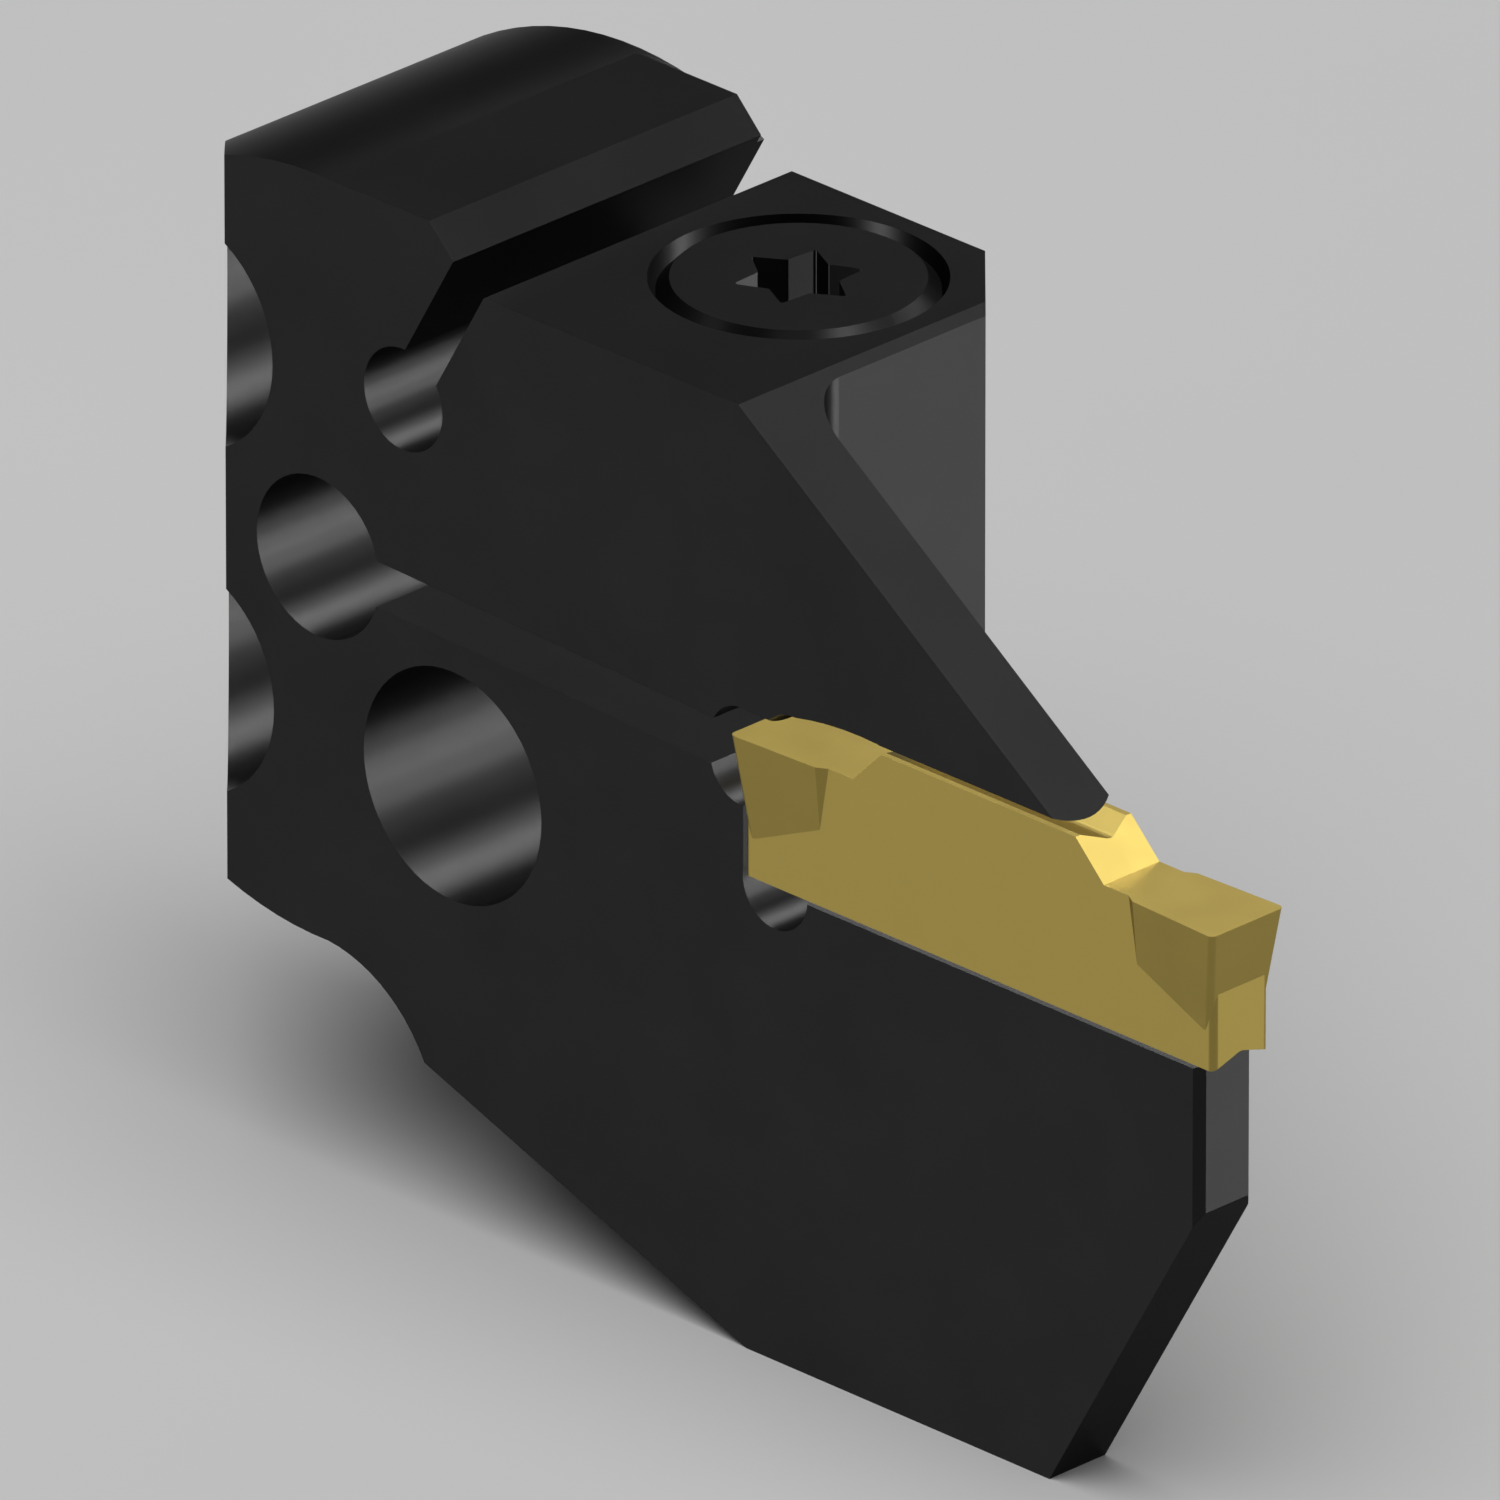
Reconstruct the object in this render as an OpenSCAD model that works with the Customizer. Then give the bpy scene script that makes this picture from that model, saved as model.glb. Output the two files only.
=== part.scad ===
// Grooving tool head: a steel head with a round coupling face, a spring jaw,
// a double-ended cutting insert and the screw that closes the jaw on it.
// Origin: centre of the coupling face. +Y points out of that face, into the holder.
// +X runs towards the cutting edge, +Z is up. Millimetres.

/* [Coupling] */
// Diameter of the round coupling face
coupling_d = 25; // [24.5:0.1:25.5]
// How far the coupling face stands proud of the body's far side
coupling_rise = 0.3; // [0.2:0.05:0.5]
// Diameter of the coolant hole on the coupling's axis
coolant_d = 5.2; // [4.6:0.1:5.8]
// Radius of the circle that the three fixing holes lie on
fixing_circle_r = 8; // [7.8:0.05:8.2]
// Diameter of each fixing hole where the screw's shank passes
fixing_hole_d = 4.5; // [4.2:0.1:5]
// Diameter of each fixing hole's counterbore
fixing_head_d = 7.5; // [7:0.1:7.8]
// Depth of each counterbore below the near side
fixing_head_depth = 8.2; // [7.6:0.1:9]

/* [Body] */
// Thickness of the body from its near side to its far side
body_t = 12.9; // [12.4:0.1:13.4]
// Length of the flat on the rear hump, forward of the coupling's axis
hump_l = 4.72; // [4.2:0.02:5.2]
// Height of the block's top above the axis
block_top_z = 10.71; // [10.3:0.01:11.1]
// Distance from the axis to the block's front face
block_front_x = 18.02; // [17.96:0.01:18.1]
// How much of the block's front corner the jaw's slope takes off
block_lip = 0.35; // [0.1:0.05:0.6]
// Depth of the underside below the axis
foot_drop = 20; // [19.4:0.1:20.6]
// Slope of the underside behind the foot, in degrees
belly_angle = 19.6; // [18.8:0.1:20.4]
// Radius of the hollow where the underside runs into the round rear
heel_r = 5; // [4.6:0.1:5.4]
// Leg of the 45 degree bevel on the rear near corner
rear_bevel = 8.58; // [7.9:0.02:9]
// Leg of the 45 degree bevel on the block's far front corner
front_bevel = 2.9; // [2.4:0.1:3.4]

/* [Blade] */
// Thickness of the blade that carries the insert
blade_t = 2.35; // [2.33:0.01:2.5]
// Slope of the jaw's upper side, in degrees
jaw_angle = 35; // [34.4:0.1:36]
// Distance from the axis to the blade's front face
blade_front_x = 36.83; // [36.4:0.01:37]
// Bevel on the two upright edges of the blade's front
blade_edge = 0.28; // [0.1:0.02:0.4]
// Depth of the blade's front face below the axis
chin_drop = 9.32; // [8.6:0.02:10]
// Slope of the blade's under-front face, in degrees
under_angle = 60; // [58:0.5:62]
// Radius where the blade runs into the block
root_r = 1.5; // [1:0.1:2]

/* [Jaw and pocket] */
// Width of the clamping slit and of the slit behind the block
slit_w = 1.5; // [1.2:0.05:1.6]
// How far the clamping slit falls towards the front, in degrees
slit_fall = 1.93; // [1.6:0.01:2.2]
// Distance from the axis to the hole at the foot of the rear slit
relief_x = 3.62; // [3.4:0.02:3.8]
// Height of that hole above the axis
relief_z = 6.32; // [6.1:0.02:6.5]
// Diameter of that hole
relief_d = 3.3; // [2.9:0.1:3.5]
// Slope of the rear slit, in degrees
rear_slit_angle = 60; // [58:0.5:62]
// Distance from the axis to the pocket's rear wall
pocket_x = 17.88; // [17.84:0.01:17.9]
// Depth of the seat's edges below the axis
seat_drop = 4.61; // [4.6:0.01:4.7]
// Slope of the seat's two flanks, in degrees
seat_angle = 21; // [19:0.5:21.5]
// Height of the jaw's edges above the axis, over the insert's land
jaw_z = 1.57; // [1.56:0.01:1.75]
// How far the jaw's rounded rib hangs below its edges
rib_drop = 0.245; // [0.2:0.005:0.26]
// How far the rib hangs below the rear ceiling, over the insert's rear end
rear_rib_drop = 0.36; // [0.3:0.01:0.42]

/* [Clamp screw] */
// Distance from the coupling's axis to the clamp screw's axis
clamp_x = 12.5; // [12.4:0.02:12.9]
// Distance from the body's near side to the clamp screw's axis
clamp_in = 7.7; // [7.5:0.02:7.9]
// Diameter of the screw's head
clamp_head_d = 8.5; // [8.2:0.1:8.7]
// Height of the screw's head
clamp_head_h = 5; // [4.6:0.1:5.4]
// Chamfer round the head's top
clamp_head_chamfer = 0.41; // [0.2:0.01:0.5]
// Nominal diameter of the screw's thread
clamp_thread_d = 5; // [4.8:0.1:5.2]
// Length of the screw under its head
clamp_shank_l = 15; // [13:0.5:16]
// Diameter across the points of the six-lobe socket
socket_d = 3.88; // [3.6:0.02:4]
// Depth of the socket
socket_depth = 2.6; // [2:0.1:3]

/* [Insert] */
// Width of the cut, at the insert's cutting edge
cut_w = 3.02; // [2.9:0.01:3.1]
// Length of the insert from cutting edge to cutting edge
insert_l = 20.02; // [19.98:0.01:20.05]
// Width of the insert's body
insert_w = 2.32; // [2.24:0.01:2.33]
// Height of the cutting edge above the axis
edge_z = 0.1; // [0.06:0.01:0.14]
// Height of the clamped land above the cutting edge
land_h = 1.176; // [1.1:0.01:1.19]
// Length of the land on top of the insert
land_l = 8.05; // [7.6:0.05:8.3]
// Corner radius of the cutting edge
corner_r = 0.2; // [0.1:0.05:0.3]
// Clearance angle under the cutting edge, in degrees
front_clearance = 7.6; // [7.2:0.1:8]
// Clearance angle of the sides, in degrees
side_clearance = 6; // [5:0.25:7]
// How far each side of the cutting head narrows behind the edge, in degrees
side_taper = 2.5; // [2:0.1:3]
// Slope of the groove along the land, in degrees
groove_angle = 19.5; // [18:0.5:21]
// Slope of the notch along the insert's underside, in degrees
notch_angle = 17; // [16:0.25:18]

/* [Hidden] */
$fn = 96;

run = 0.035;                 // clearance of the insert on its seat and wall
thread_gap = 0.05;           // running clearance of the thread
shank_gap = 0.25;            // clearance of the shank in the upper jaw
bite = 0.02;                 // small overlap where arcs would only touch
over = 1;                    // how far a cutter runs past what it cuts

coupling_r = coupling_d / 2;
far_y = -coupling_rise;
near_y = far_y - body_t;
blade_y = near_y + blade_t;          // the blade's far side
blade_mid_y = near_y + blade_t / 2;
hump_z = coupling_r - bite / 2;
block_top_x = block_front_x - block_lip;
jaw_slope = tan(jaw_angle);
foot_x = blade_front_x - (foot_drop - chin_drop) / tan(under_angle);

pocket_y = blade_y + root_r;         // the pocket's floor, where the fillet ends

// Slot that ends the clamping slit and clears the insert's rear cutting edge
slot_r = 1.27;
slot_x = pocket_x - 0.1;
slot_top_z = edge_z + 0.8;
slot_foot_z = edge_z - 2.37;
ceiling_z = slot_top_z - 0.015;
// Round relief in the pocket's lower rear corner
corner_relief_r = 1.346;
corner_relief_x = pocket_x + corner_relief_r - bite;
corner_relief_z = -seat_drop + 0.1;
// Two reliefs in the jaw over the insert's rear facet
jaw_relief_r = 1.36;
jaw_relief_x = pocket_x + 2.09;
jaw_relief_z = edge_z - 0.14;
long_relief_r = 12.5;
long_relief_x = pocket_x + 4.82;
long_relief_z = jaw_z + 0.03;
rib_start_x = long_relief_x + 0.8;
rib_end_x = jaw_relief_x;

crest = 0.15;                // half the flat on the seat's crest
seat_rise = (blade_t / 2 - crest) * tan(seat_angle);

clamp_y = near_y + clamp_in;
clamp_seat_z = block_top_z - clamp_head_h - 0.02;
clamp_bore_r = clamp_head_d / 2 + 0.25;
clamp_tip_z = clamp_seat_z - clamp_shank_l;

// Insert, drawn from its own centre: half of it runs forward, half of it back
insert_end = insert_l / 2 - (2.11 * tan(front_clearance));
insert_x = pocket_x + run + insert_end;
head_back = insert_l / 2 - 3.43;     // where the cutting head starts
head_step = head_back - 0.36;
head_depth = 3.3;
body_top = edge_z + land_h;
foot_z = -seat_drop + seat_rise + run - (insert_w / 2 - crest) * tan(notch_angle);
half_cut = cut_w / 2;
half_body = insert_w / 2;
body_edge_r = 0.21;                  // rounding of the body's upright edges
rail_w = 0.2;                        // width of the rails beside the groove
groove_r = 0.45;
notch_r = 0.4;

// A side view (X, Z) given thickness from y0 to y1
module side(y0, y1) {
  translate([0, y1, 0]) rotate([90, 0, 0]) linear_extrude(height = y1 - y0) children();
}

// A plan view (X, Y) given height from z0 to z1
module plan(z0, z1) {
  translate([0, 0, z0]) linear_extrude(height = z1 - z0) children();
}

// A section (Y, Z) run along X from x0 to x1
module along(x0, x1) {
  translate([x0, 0, 0]) rotate([90, 0, 90]) linear_extrude(height = x1 - x0) children();
}

module side_hole(x, z, r) {
  translate([x, over, z]) rotate([90, 0, 0]) cylinder(r = r, h = over - near_y + over);
}

// Side view of the thick body: the round rear, the hump, the block and the belly
module body_outline() {
  circle(r = coupling_r);
  difference() {
    polygon([
      [0, hump_z],
      [hump_l, hump_z],
      [hump_l + hump_z - block_top_z, block_top_z],
      [block_top_x, block_top_z],
      [block_front_x, block_top_z - block_lip * jaw_slope],
      [block_front_x, -foot_drop],
      [0, -foot_drop + block_front_x * tan(belly_angle)]
    ]);
    translate([0, -coupling_r - heel_r + bite]) circle(r = heel_r);
  }
}

// Side view of the blade before the pocket is cut out of it
module blade_outline() {
  polygon([
    [block_front_x - 6, block_top_z],
    [block_top_x, block_top_z],
    [block_top_x + (block_top_z + 0.5) / jaw_slope, -0.5],
    [blade_front_x, -0.5],
    [blade_front_x, -chin_drop],
    [foot_x, -foot_drop],
    [block_front_x, -foot_drop],
    [block_front_x - 6, -foot_drop + 6 * tan(belly_angle) + 1]
  ]);
}

// Side view of the two slits and the relief hole, cut through the whole head
module slit_outline() {
  rotate(-slit_fall) translate([0, -slit_w / 2]) square([block_front_x + over, slit_w]);
  translate([relief_x, relief_z]) {
    circle(d = relief_d);
    rotate(rear_slit_angle) translate([0, -slit_w / 2]) square([coupling_r, slit_w]);
  }
}

// Side view of the insert's pocket, with its reliefs and the slot behind it
module pocket_outline() {
  for (z = [slot_top_z - slot_r, slot_foot_z + slot_r]) translate([slot_x, z]) circle(r = slot_r);
  translate([slot_x - slot_r, slot_foot_z + slot_r])
    square([2 * slot_r, slot_top_z - slot_foot_z - 2 * slot_r]);
  translate([pocket_x, -seat_drop]) square([blade_front_x, seat_drop + ceiling_z]);
  translate([corner_relief_x, corner_relief_z]) circle(r = corner_relief_r);
  translate([jaw_relief_x, jaw_relief_z]) circle(r = jaw_relief_r);
  intersection() {
    translate([long_relief_x, long_relief_z - long_relief_r]) circle(r = long_relief_r);
    translate([jaw_relief_x, 0]) square([4.5, 2.5]);
  }
  translate([long_relief_x, -seat_drop]) square([blade_front_x, seat_drop + jaw_z]);
}

// Rounded rib along the jaw, hanging by the given drop from the level z. Its section
// is an arc across the blade that ends just below the jaw's edges
module rib(x0, x1, z, drop) {
  sag = drop - 0.01;
  r = (pow(blade_t / 2, 2) + pow(sag, 2)) / (2 * sag);
  intersection() {
    side(near_y, blade_y) blade_outline();
    along(x0, x1) intersection() {
      translate([blade_mid_y, z - drop + r]) circle(r = r);
      translate([near_y, z - 0.5]) square([blade_t, 0.8]);
    }
  }
}

// The seat's crest: a low ridge that the insert's notch sits over
module seat_ridge() {
  along(pocket_x + 0.5, blade_front_x) polygon([
    [near_y, -seat_drop - 0.5], [near_y, -seat_drop],
    [blade_mid_y - crest, -seat_drop + seat_rise], [blade_mid_y + crest, -seat_drop + seat_rise],
    [blade_y, -seat_drop], [blade_y, -seat_drop - 0.5]
  ]);
}

// Concave fillet between the blade and the block
module root_fillet() {
  intersection() {
    side(blade_y - 0.5, blade_y + root_r) blade_outline();
    plan(-foot_drop - over, block_top_z + over) difference() {
      translate([block_front_x - 0.5, blade_y - 0.5]) square(root_r + 0.5);
      translate([block_front_x + root_r, blade_y + root_r]) circle(r = root_r);
    }
  }
}

module fixing_hole(x, z) {
  side_hole(x, z, fixing_hole_d / 2);
  translate([x, near_y + fixing_head_depth, z]) rotate([90, 0, 0])
    cylinder(d = fixing_head_d, h = fixing_head_depth + over);
}

module clamp_bore() {
  translate([clamp_x, clamp_y, clamp_seat_z]) cylinder(r = clamp_bore_r, h = clamp_head_h + over);
  translate([clamp_x, clamp_y, 0]) cylinder(r = clamp_thread_d / 2 + shank_gap, h = block_top_z);
  translate([clamp_x, clamp_y, clamp_tip_z - 1])
    cylinder(r = clamp_thread_d / 2 + thread_gap, h = -clamp_tip_z + 1);
}

module head_body() {
  color("#2b2b2d") difference() {
    union() {
      difference() {
        union() {
          side(near_y, far_y) body_outline();
          side(near_y, blade_y) blade_outline();
          root_fillet();
        }
        side(near_y - over, over) slit_outline();
        side(near_y - over, pocket_y) pocket_outline();
      }
      difference() {
        union() {
          rib(rib_start_x, blade_front_x, jaw_z, rib_drop);
          rib(pocket_x + 0.07, rib_end_x, ceiling_z, rear_rib_drop);
          seat_ridge();
        }
        side_hole(corner_relief_x, corner_relief_z, corner_relief_r);
        side_hole(jaw_relief_x, jaw_relief_z, jaw_relief_r);
      }
      difference() {
        rotate([90, 0, 0]) cylinder(r = coupling_r, h = coupling_rise + 0.5);
        side(near_y - over, over) slit_outline();
      }
    }
    side_hole(0, 0, coolant_d / 2);
    for (s = [[-1, 1], [-1, -1], [1, -1]])
      fixing_hole(s[0] * fixing_circle_r * cos(45), s[1] * fixing_circle_r * sin(45));
    clamp_bore();
    // bevel on the rear near corner
    plan(-coupling_r - over, coupling_r + over) polygon([
      [-coupling_r + rear_bevel + over, near_y - over],
      [-coupling_r - over, near_y + rear_bevel + over],
      [-coupling_r - over, near_y - over]
    ]);
    // bevel on the block's far front corner
    plan(-foot_drop - over, block_top_z + over) polygon([
      [block_front_x + over, far_y - front_bevel - over],
      [block_front_x - front_bevel - over, far_y + over],
      [block_front_x + over, far_y + over]
    ]);
    // bevels on the blade's two upright front edges
    for (s = [[near_y, -1], [blade_y, 1]])
      plan(-foot_drop - over, -seat_drop + over) polygon([
        [blade_front_x - blade_edge - 0.2, s[0] + s[1] * 0.2],
        [blade_front_x + 0.2, s[0] - s[1] * (blade_edge + 0.2)],
        [blade_front_x + 0.2, s[0] + s[1] * 0.2]
      ]);
  }
}

// Outline of the cutting head in plan, at a depth d below the cutting edge
module head_plan(d) {
  front = insert_l / 2 - d * tan(front_clearance) - corner_r;
  w = half_cut - d * tan(side_clearance);
  w_back = w - (front - head_back) * tan(side_taper);
  polygon([[head_back, w_back], [head_back, -w_back], [front, -w + corner_r], [front, w - corner_r]]);
  for (s = [-1, 1]) translate([front, s * (w - corner_r)]) circle(r = corner_r, $fn = 32);
  // at the top the head runs out into the body's sides
  if (d == 0) translate([head_step, -half_body]) square([head_back - head_step, insert_w]);
}

// One cutting head: flat rake on top, clearance on the front and the sides
module cutting_head() {
  hull() {
    translate([0, 0, edge_z - 0.01]) linear_extrude(height = 0.01) head_plan(0);
    translate([0, 0, edge_z - head_depth]) linear_extrude(height = 0.01) head_plan(head_depth);
  }
}

// Side view of the insert's body, from its centre towards one end
module insert_outline() {
  polygon([
    [-0.5, body_top],
    [land_l / 2, body_top],
    [land_l / 2 + land_h, edge_z],
    [insert_end, edge_z],
    [insert_end, foot_z],
    [-0.5, foot_z]
  ]);
}

module insert_half() {
  intersection() {
    translate([0, half_body, 0]) rotate([90, 0, 0])
      linear_extrude(height = insert_w) insert_outline();
    // upright front edges rounded
    translate([0, 0, foot_z - over]) linear_extrude(height = body_top - foot_z + 2 * over) union() {
      translate([-0.6, -half_body]) square([insert_end - body_edge_r + 0.6, insert_w]);
      translate([-0.6, body_edge_r - half_body]) square([insert_end + 0.6, insert_w - 2 * body_edge_r]);
      for (s = [-1, 1]) translate([insert_end - body_edge_r, s * (half_body - body_edge_r)])
        circle(r = body_edge_r);
    }
  }
  cutting_head();
}

// Section (Y, Z) of a V with flanks of the given slope and a rounded bottom of radius r.
// Its flanks pass through height 0 at half width w, and it opens upwards.
module round_v(w, slope, r) {
  apex = -w * tan(slope);
  centre = apex + r / cos(slope);
  polygon([
    [-w - 0.2 / tan(slope), 0.2],
    [-r * sin(slope), centre - r * cos(slope)],
    [r * sin(slope), centre - r * cos(slope)],
    [w + 0.2 / tan(slope), 0.2]
  ]);
  translate([0, centre]) circle(r = r);
}

module cutting_insert() {
  color("#c9a54a") translate([insert_x, blade_mid_y, 0]) difference() {
    union() {
      insert_half();
      rotate([0, 0, 180]) insert_half();
    }
    // groove along the land, with narrow rails left beside it
    along(-land_l / 2 - land_h, land_l / 2 + land_h)
      translate([0, body_top]) round_v(half_body - rail_w, groove_angle, groove_r);
    // notch along the underside
    along(-insert_l, insert_l)
      translate([0, foot_z]) mirror([0, 1]) round_v(half_body, notch_angle, notch_r);
  }
}

// Six-lobe star with rounded points and rounded valleys
module socket_outline() {
  tip = socket_d / 2 + 0.06;
  valley = socket_d / 2 * 0.64;
  offset(r = -0.08) offset(delta = 0.08) offset(r = 0.08) offset(delta = -0.08)
    polygon([for (i = [0:11]) (i % 2 == 0 ? tip : valley) * [cos(i * 30), sin(i * 30)]]);
}

module clamp_screw() {
  r = clamp_head_d / 2;
  color("#2b2b2d") translate([clamp_x, clamp_y, clamp_seat_z + 0.02]) difference() {
    rotate_extrude() polygon([
      [0, -clamp_shank_l],
      [clamp_thread_d / 2 - 0.5, -clamp_shank_l],
      [clamp_thread_d / 2, -clamp_shank_l + 0.5],
      [clamp_thread_d / 2, 0],
      [r, 0],
      [r, clamp_head_h - clamp_head_chamfer],
      [r - clamp_head_chamfer, clamp_head_h],
      [0, clamp_head_h]
    ]);
    translate([0, 0, clamp_head_h - socket_depth]) linear_extrude(height = socket_depth + over, $fn = 24)
      socket_outline();
  }
}

head_body();
cutting_insert();
clamp_screw();
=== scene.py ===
"""Grooving tool head: materials, light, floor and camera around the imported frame."""
import math
import bpy
from mathutils import Matrix, Vector


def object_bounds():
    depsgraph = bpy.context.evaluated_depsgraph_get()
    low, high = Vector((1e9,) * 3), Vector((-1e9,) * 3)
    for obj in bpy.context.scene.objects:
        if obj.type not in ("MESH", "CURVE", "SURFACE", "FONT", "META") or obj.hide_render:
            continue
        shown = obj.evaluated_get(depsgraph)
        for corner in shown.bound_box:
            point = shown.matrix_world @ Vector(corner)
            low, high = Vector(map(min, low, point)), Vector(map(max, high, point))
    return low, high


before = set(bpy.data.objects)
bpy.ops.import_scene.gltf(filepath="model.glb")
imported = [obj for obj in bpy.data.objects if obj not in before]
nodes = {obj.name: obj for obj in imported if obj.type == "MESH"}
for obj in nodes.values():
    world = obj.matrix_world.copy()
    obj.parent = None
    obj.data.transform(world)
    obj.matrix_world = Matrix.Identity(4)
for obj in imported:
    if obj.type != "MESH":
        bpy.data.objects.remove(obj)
cad_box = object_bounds()

MM, UM = 0.001, 0.000001
scene = bpy.context.scene
scene.view_settings.view_transform = "Standard"

# ---------------------------------------------------------------- camera
# A very long lens from far away: next to no perspective.
TARGET = Vector((5.379, -0.414, -8.783)) * MM
DISTANCE = 1674.08 * MM
AZIMUTH, ELEVATION = math.radians(44.995), math.radians(24.992)
FOCAL_PX, IMAGE_PX, SENSOR_MM = 56000.0, 1500.0, 36.0
CLIP_START, CLIP_END = 0.1, 20.0

back = Vector((math.sin(AZIMUTH) * math.cos(ELEVATION),
               -math.cos(AZIMUTH) * math.cos(ELEVATION),
               math.sin(ELEVATION)))
right = Vector((math.cos(AZIMUTH), math.sin(AZIMUTH), 0.0))
up = back.cross(right)
cam_data = bpy.data.cameras.new("camera")
cam_data.sensor_width = SENSOR_MM
cam_data.lens = FOCAL_PX / IMAGE_PX * SENSOR_MM
cam_data.clip_start, cam_data.clip_end = CLIP_START, CLIP_END
camera = bpy.data.objects.new("camera", cam_data)
scene.collection.objects.link(camera)
turned = Matrix((right, up, back)).transposed().to_4x4()
camera.matrix_world = Matrix.Translation(TARGET + back * DISTANCE) @ turned
scene.camera = camera


# ---------------------------------------------------------------- node helpers
class Graph:
    """A material with a Principled shader, and short calls that add nodes to it."""

    def __init__(self, name, **uniform):
        self.mat = bpy.data.materials.new(name)
        self.mat.use_nodes = True
        self.tree = self.mat.node_tree
        self.shader = self.tree.nodes["Principled BSDF"]
        for socket, value in uniform.items():
            self.shader.inputs[socket.replace("_", " ")].default_value = value
        self.place = self.tree.nodes.new("ShaderNodeTexCoord").outputs["Object"]

    def link(self, a, b):
        self.tree.links.new(a, b)

    def noise(self, size_mm, detail, stretch=(1, 1, 1)):
        """Noise whose patches are size_mm wide, drawn out along the axes by stretch."""
        m = self.tree.nodes.new("ShaderNodeMapping")
        m.inputs["Scale"].default_value = [1 / (size_mm * MM * s) for s in stretch]
        n = self.tree.nodes.new("ShaderNodeTexNoise")
        n.inputs["Scale"].default_value = 1.0
        n.inputs["Detail"].default_value = detail
        self.link(self.place, m.inputs["Vector"])
        self.link(m.outputs["Vector"], n.inputs["Vector"])
        return n.outputs["Fac"]

    def span(self, value, low, high):
        """Turns the 0.3 to 0.7 of a noise, which is nearly all of it, into low to high."""
        n = self.tree.nodes.new("ShaderNodeMapRange")
        n.inputs["From Min"].default_value, n.inputs["From Max"].default_value = 0.3, 0.7
        n.inputs["To Min"].default_value, n.inputs["To Max"].default_value = low, high
        self.link(value, n.inputs["Value"])
        return n.outputs["Result"]

    def mean(self, a, b):
        """The mean of two values."""
        halves = []
        for value in (a, b):
            half = self.tree.nodes.new("ShaderNodeMath")
            half.operation = "MULTIPLY"
            self.link(value, half.inputs[0])
            half.inputs[1].default_value = 0.5
            halves.append(half.outputs["Value"])
        total = self.tree.nodes.new("ShaderNodeMath")
        total.operation = "ADD"
        self.link(halves[0], total.inputs[0])
        self.link(halves[1], total.inputs[1])
        return total.outputs["Value"]

    def colour(self, patches, base, spread):
        """Base colour that wanders by the given share of itself over the patches."""
        n = self.tree.nodes.new("ShaderNodeMix")
        n.data_type = "RGBA"
        n.inputs["A"].default_value = (*[c * (1 - spread) for c in base], 1)
        n.inputs["B"].default_value = (*[c * (1 + spread) for c in base], 1)
        self.link(self.span(patches, 0, 1), n.inputs["Factor"])
        self.link(n.outputs["Result"], self.shader.inputs["Base Color"])

    def roughness(self, value, middle):
        """Roughness that wanders a little round its middle."""
        rough = self.span(value, middle - ROUGH_SPREAD, middle + ROUGH_SPREAD)
        self.link(rough, self.shader.inputs["Roughness"])

    def bump(self, height, depth_um):
        n = self.tree.nodes.new("ShaderNodeBump")
        n.inputs["Distance"].default_value = depth_um * UM
        n.inputs["Strength"].default_value = BUMP_STRENGTH
        self.link(height, n.inputs["Height"])
        self.link(n.outputs["Normal"], self.shader.inputs["Normal"])


# ---------------------------------------------------------------- materials
ROUGH_SPREAD = 0.012
BUMP_STRENGTH = 0.25

# Blackened steel. Sizes are in millimetres, the grain's depth in micrometres.
STEEL_COLOUR = (0.0185, 0.0185, 0.0185)
STEEL_EDGE = (0.5, 0.5, 0.5, 1)          # tint at grazing angles
STEEL_SPREAD, STEEL_ROUGH = 0.04, 0.36
STEEL_PATCH, STEEL_GRAIN, STEEL_GRAIN_DEPTH = 3.0, 0.05, 0.5
STEEL_LAY, STEEL_LAY_STRETCH = 0.06, (24, 1, 1)

# Gold-coloured coating on carbide
GOLD_COLOUR = (0.34, 0.25704, 0.06392)
GOLD_EDGE = (1.0, 0.92, 0.7, 1)
GOLD_SPREAD, GOLD_ROUGH = 0.03, 0.36
GOLD_PATCH, GOLD_GRAIN, GOLD_GRAIN_DEPTH = 1.6, 0.035, 0.4
GOLD_METALLIC = 0.9


def black_steel(name):
    """Blackened steel: satin, with the faint grain and lay that milling and blackening leave."""
    g = Graph(name, Metallic=1.0, Specular_Tint=STEEL_EDGE)
    patches = g.noise(STEEL_PATCH, 3.0)
    lay = g.noise(STEEL_LAY, 1.0, STEEL_LAY_STRETCH)
    g.colour(patches, STEEL_COLOUR, STEEL_SPREAD)
    g.roughness(g.mean(patches, lay), STEEL_ROUGH)
    g.bump(g.noise(STEEL_GRAIN, 2.0), STEEL_GRAIN_DEPTH)
    return g.mat


def coated_carbide(name):
    """Gold-coloured coated carbide: an even film over a very fine ground surface."""
    g = Graph(name, Metallic=GOLD_METALLIC, Specular_Tint=GOLD_EDGE)
    patches = g.noise(GOLD_PATCH, 3.0)
    g.colour(patches, GOLD_COLOUR, GOLD_SPREAD)
    g.roughness(patches, GOLD_ROUGH)
    g.bump(g.noise(GOLD_GRAIN, 2.0), GOLD_GRAIN_DEPTH)
    return g.mat


def paint(node, mat):
    """Gives every slot of a CAD node the material."""
    piece = nodes[node]
    if not piece.material_slots:
        piece.data.materials.append(mat)
    for slot in piece.material_slots:
        slot.material = mat


paint("head_body", black_steel("black_steel"))
paint("clamp_screw", black_steel("screw_steel"))
paint("cutting_insert", coated_carbide("coated_carbide"))

# ---------------------------------------------------------------- floor
# A round floor, flat round the object. Its far rim rises a little, so that a low camera sees
# it too, and it is one-sided, so that the object can also be looked at from underneath.
FLAT_RADIUS, RIM_RADIUS = 0.25, 0.55
RIM_CURVE = 0.6              # the rim's height is this times its squared distance from the flat
SIDES, RINGS = 128, 12
FLOOR_GREY, FLOOR_SPREAD, FLOOR_ROUGH, FLOOR_PATCH = 0.6, 1 / 60, 0.9, 40.0

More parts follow.
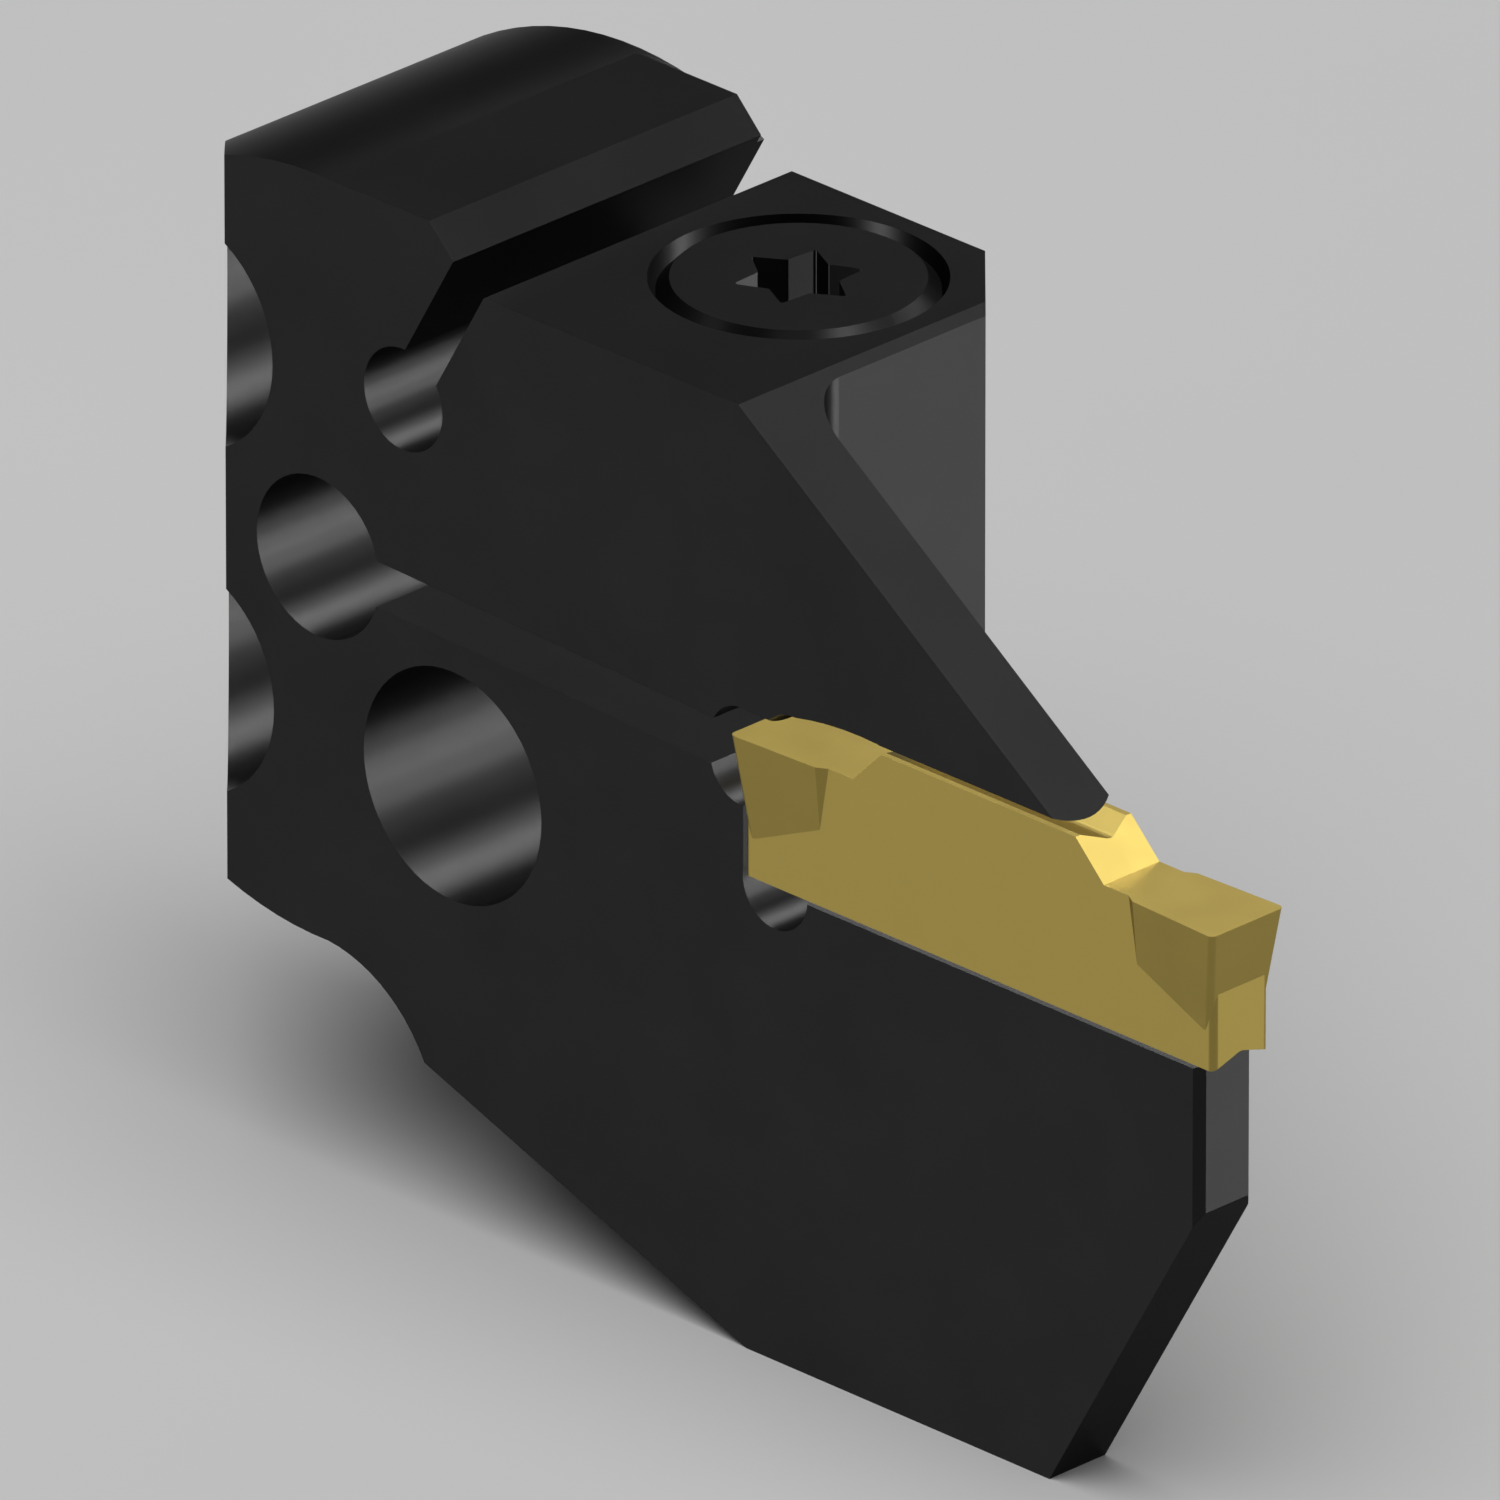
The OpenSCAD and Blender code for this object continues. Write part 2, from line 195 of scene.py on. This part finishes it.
floor_z = cad_box[0][2]
points, faces = [(0.0, 0.0, floor_z)], []
for ring in range(RINGS + 1):
    radius = FLAT_RADIUS + (RIM_RADIUS - FLAT_RADIUS) * ring / RINGS
    z = floor_z + RIM_CURVE * (radius - FLAT_RADIUS) ** 2
    for side in range(SIDES):
        turn = 2 * math.pi * side / SIDES
        points.append((radius * math.cos(turn), radius * math.sin(turn), z))
        a, b = 1 + side, 1 + (side + 1) % SIDES
        if ring == 0:
            faces.append((0, a, b))
        else:
            inner, outer = (ring - 1) * SIDES, ring * SIDES
            faces.append((inner + a, outer + a, outer + b, inner + b))
mesh = bpy.data.meshes.new("floor")
mesh.from_pydata(points, [], faces)
mesh.shade_smooth()
floor = bpy.data.objects.new("floor", mesh)
scene.collection.objects.link(floor)

g = Graph("floor", Roughness=FLOOR_ROUGH, Specular_IOR_Level=0.0)
g.colour(g.noise(FLOOR_PATCH, 2.0), (FLOOR_GREY,) * 3, FLOOR_SPREAD)
underside = g.tree.nodes.new("ShaderNodeNewGeometry").outputs["Backfacing"]
clear = g.tree.nodes.new("ShaderNodeBsdfTransparent").outputs["BSDF"]
mix = g.tree.nodes.new("ShaderNodeMixShader")
g.link(underside, mix.inputs["Fac"])
g.link(g.shader.outputs["BSDF"], mix.inputs[1])
g.link(clear, mix.inputs[2])
g.link(mix.outputs["Shader"], g.tree.nodes["Material Output"].inputs["Surface"])
mesh.materials.append(g.mat)

# ---------------------------------------------------------------- light
# Each lamp is a broad, distant one: direction towards it, strength, angle across in degrees.
# The steel, the insert and the floor each have their own, so that each one's tone can be set.
STEEL_LAMPS = [
    ((-0.208, 0.648, 0.733), 0.66, 8),
    ((-0.067, 0.573, 0.817), 0.26, 8),
    ((-0.359, 0.619, 0.699), 0.45, 8),
    ((0.600, 0.296, 0.743), 0.14, 12),
    ((0.217, 0.902, 0.373), 0.23, 10),
    ((0.394, 0.809, 0.436), 0.39, 10),
    ((0.592, 0.780, 0.203), 1.75, 8),
    ((0.767, 0.641, 0.020), 0.67, 8),
    ((0.808, 0.581, -0.095), 0.19, 8),
    ((0.737, 0.641, -0.213), 0.51, 8),
    ((0.539, 0.641, -0.547), 0.05, 8),
    ((-0.302, -0.905, -0.302), 1.11, 10),
    ((0.100, 0.500, 0.860), 0.55, 12),
    ((-0.451, 0.621, 0.641), 0.20, 10),
    ((0.501, 0.756, -0.423), 0.60, 8),
    ((-0.643, 0.193, 0.741), 0.75, 8),
    ((-0.546, -0.471, 0.693), 0.11, 12),
    ((0.514, 0.102, 0.852), 0.69, 10),
    ((0.211, -0.374, 0.903), 0.09, 12),
]
INSERT_LAMPS = [
    ((0.664, 0.667, -0.338), 0.12, 8),
    ((-0.596, -0.745, -0.298), 0.13, 10),
    ((0.425, 0.638, 0.642), 0.55, 10),
    ((-0.601, 0.300, 0.741), 0.40, 12),
    ((-0.451, 0.621, 0.641), 0.62, 10),
]
FLOOR_LAMPS = [((0.12, -0.25, 1.0), 2.6, 70)]
WORLD_WHITE, WORLD_STRENGTH = (1, 1, 1, 1), 0.08


def light(group, lamps, receivers, shadow):
    """Adds lamps that light only the receivers. Without shadow they light hollows fully too,
    for which their sampling has to be the plain one as well."""
    lit = bpy.data.collections.new(group + "_receivers")
    for o in receivers:
        lit.objects.link(o)
    for i, (towards, strength, angle) in enumerate(lamps):
        data = bpy.data.lights.new(f"{group}_lamp_{i + 1}", "SUN")
        data.energy, data.angle, data.use_shadow = strength, math.radians(angle), shadow
        data.cycles.use_multiple_importance_sampling = shadow
        lamp = bpy.data.objects.new(data.name, data)
        scene.collection.objects.link(lamp)
        lamp.rotation_euler = Vector(towards).to_track_quat("Z", "Y").to_euler()
        lamp.light_linking.receiver_collection = lit


light("steel", STEEL_LAMPS, [nodes["head_body"], nodes["clamp_screw"]], False)
light("insert", INSERT_LAMPS, [nodes["cutting_insert"]], False)
light("floor", FLOOR_LAMPS, [floor], True)

scene.world = bpy.data.worlds.new("world")
scene.world.use_nodes = True
background = scene.world.node_tree.nodes["Background"]
background.inputs["Color"].default_value = WORLD_WHITE
background.inputs["Strength"].default_value = WORLD_STRENGTH
